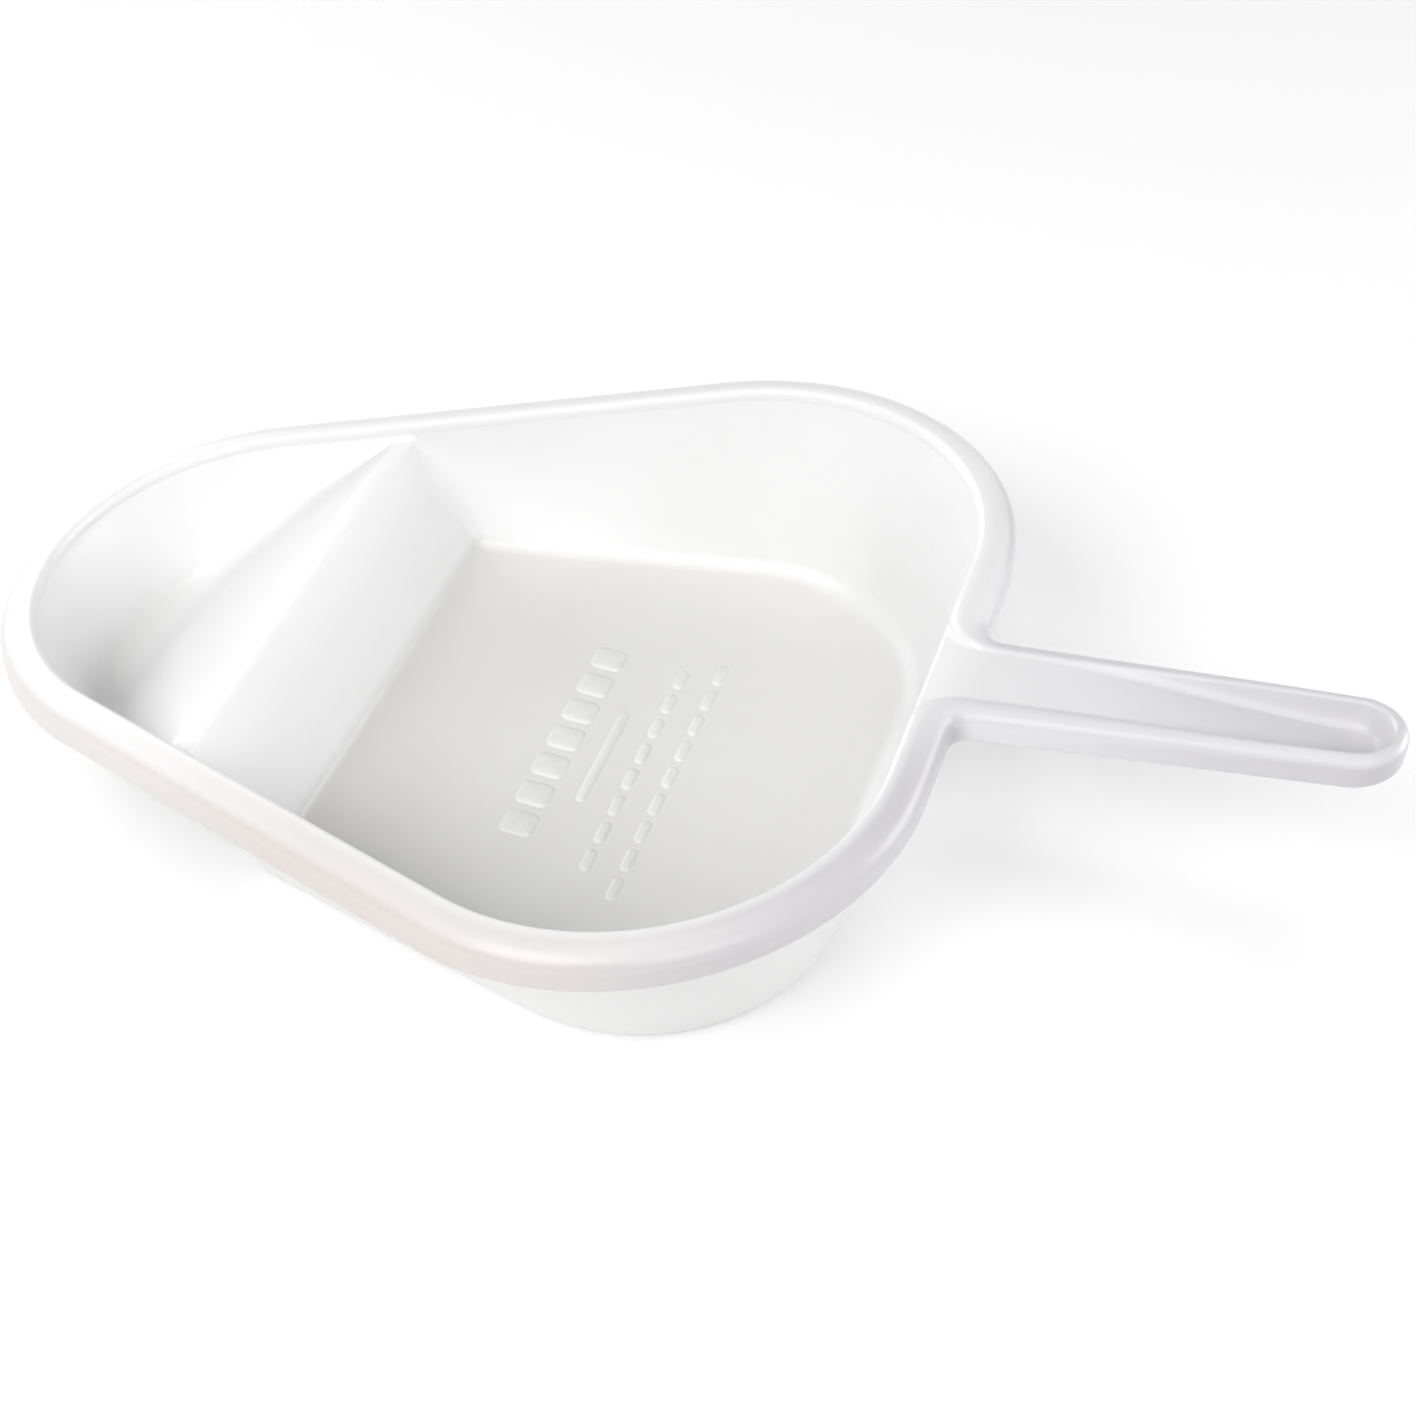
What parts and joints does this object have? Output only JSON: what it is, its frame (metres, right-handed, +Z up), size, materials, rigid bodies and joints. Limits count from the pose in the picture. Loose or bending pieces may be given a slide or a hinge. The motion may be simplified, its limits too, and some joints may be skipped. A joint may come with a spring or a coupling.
{
  "type": "bedpan",
  "caption": "White moulded slipper bedpan with a low nose, a ramp over a divider, a deep basin, a skirted rim and a flat trough handle.",
  "frame": {"origin": "on the surface the pan stands on, under the middle of its overall length and width", "axes": "+X from the nose to the handle, +Y to the left, +Z up"},
  "size_m": [0.4299, 0.267, 0.0898],
  "materials": {
    "white_plastic": "semi-gloss moulded polypropylene"
  },
  "bodies": {
    "root": {"basin_floor": "white_plastic", "floor_bars": "white_plastic", "scoop_floor": "white_plastic", "scoop_ramp": "white_plastic", "divider_crown": "white_plastic", "divider_wall": "white_plastic", "nose_wall": "white_plastic", "left_side_wall": "white_plastic", "right_side_wall": "white_plastic", "left_corner_wall": "white_plastic", "right_corner_wall": "white_plastic", "rear_wall": "white_plastic", "nose_rim": "white_plastic", "left_rim": "white_plastic", "right_rim": "white_plastic", "left_corner_rim": "white_plastic", "right_corner_rim": "white_plastic", "left_handle_root": "white_plastic", "right_handle_root": "white_plastic", "left_handle_edge": "white_plastic", "right_handle_edge": "white_plastic", "handle_tip": "white_plastic", "handle_root_web": "white_plastic", "handle_trough_floor": "white_plastic"}
  },
  "joints": []
}
